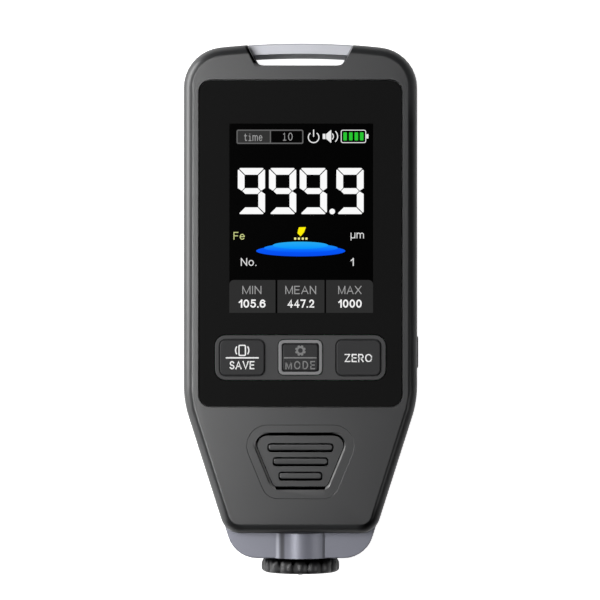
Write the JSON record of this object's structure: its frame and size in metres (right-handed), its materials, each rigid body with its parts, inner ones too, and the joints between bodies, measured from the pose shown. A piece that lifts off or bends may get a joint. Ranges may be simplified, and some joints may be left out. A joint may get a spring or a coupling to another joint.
{
  "type": "coating thickness gauge",
  "caption": "Handheld coating thickness gauge with a colour screen, front keys, a strap bar and a sprung contact probe in its nose, lying on its back.",
  "frame": {"origin": "on the flat back face, under the middle of the gauge's length and of its body's width", "axes": "+Z out of the display, +Y towards the strap bar, +X to the right as the display is read"},
  "size_m": [0.0507, 0.1157, 0.0253],
  "materials": {
    "shell_grey": "satin dark grey moulded plastic",
    "frame_lavender": "satin lavender-grey metallic",
    "window_black": "smooth black window",
    "panel_grey": "matte grey bezel",
    "key_black": "matte near-black key caps",
    "ring_grey": "lighter grey ring",
    "sleeve_black": "black moulded ring",
    "steel": "plain steel",
    "spring_steel": "spring wire and contact strip",
    "copper": "enamelled copper winding",
    "board_green": "green circuit board",
    "holder_white": "white moulded plastic",
    "cell_jacket": "plain dark cell jacket"
  },
  "bodies": {
    "housing": {"front_shell": "shell_grey", "mid_frame": "frame_lavender", "rear_shell": "shell_grey", "display_window": "window_black", "key_panel": "panel_grey", "mode_ring": "ring_grey", "display_module": "window_black", "display_holder": "holder_white", "main_board": "board_green", "save_switch": "steel", "mode_switch": "steel", "zero_switch": "steel", "power_switch": "steel", "buzzer": "sleeve_black", "vibration_motor": "steel", "cell_left": "cell_jacket", "cell_right": "cell_jacket", "cell_spring_left": "spring_steel", "cell_spring_right": "spring_steel", "cell_tab_left": "spring_steel", "cell_tab_right": "spring_steel", "housing_screw_1": "steel", "housing_screw_2": "steel", "housing_screw_3": "steel", "housing_screw_4": "steel", "probe_sleeve": "sleeve_black", "probe_spring": "spring_steel", "probe_end_cap": "sleeve_black"},
    "save_key": {"save_button": "key_black"},
    "mode_key": {"mode_button": "key_black"},
    "zero_key": {"zero_button": "key_black"},
    "power_key": {"power_button": "key_black"},
    "probe": {"probe_tip": "steel", "probe_core": "steel", "probe_bobbin": "holder_white", "probe_coil": "copper"},
    "door": {"battery_door": "shell_grey"}
  },
  "joints": [
    {"name": "save_press", "type": "slide", "parent": "housing", "child": "save_key", "axis": [0, 0, -1], "range_m": [0, 0.0004], "stiffness_N_per_m": 150, "springref_m": -0.0004},
    {"name": "mode_press", "type": "slide", "parent": "housing", "child": "mode_key", "axis": [0, 0, -1], "range_m": [0, 0.0004], "stiffness_N_per_m": 150, "springref_m": -0.0004},
    {"name": "zero_press", "type": "slide", "parent": "housing", "child": "zero_key", "axis": [0, 0, -1], "range_m": [0, 0.0004], "stiffness_N_per_m": 150, "springref_m": -0.0004},
    {"name": "power_press", "type": "slide", "parent": "housing", "child": "power_key", "axis": [-1, 0, 0], "range_m": [0, 0.0003], "stiffness_N_per_m": 150, "springref_m": -0.0003},
    {"name": "probe_press", "type": "slide", "parent": "housing", "child": "probe", "axis": [0, 1, 0], "range_m": [0, 0.0009], "stiffness_N_per_m": 300, "springref_m": -0.001, "deforming": ["probe_spring"]},
    {"name": "door_swing", "type": "hinge", "parent": "housing", "child": "door", "pos_m": [0, 0.028, 0], "axis": [1, 0, 0], "range_deg": [0, 30]}
  ]
}
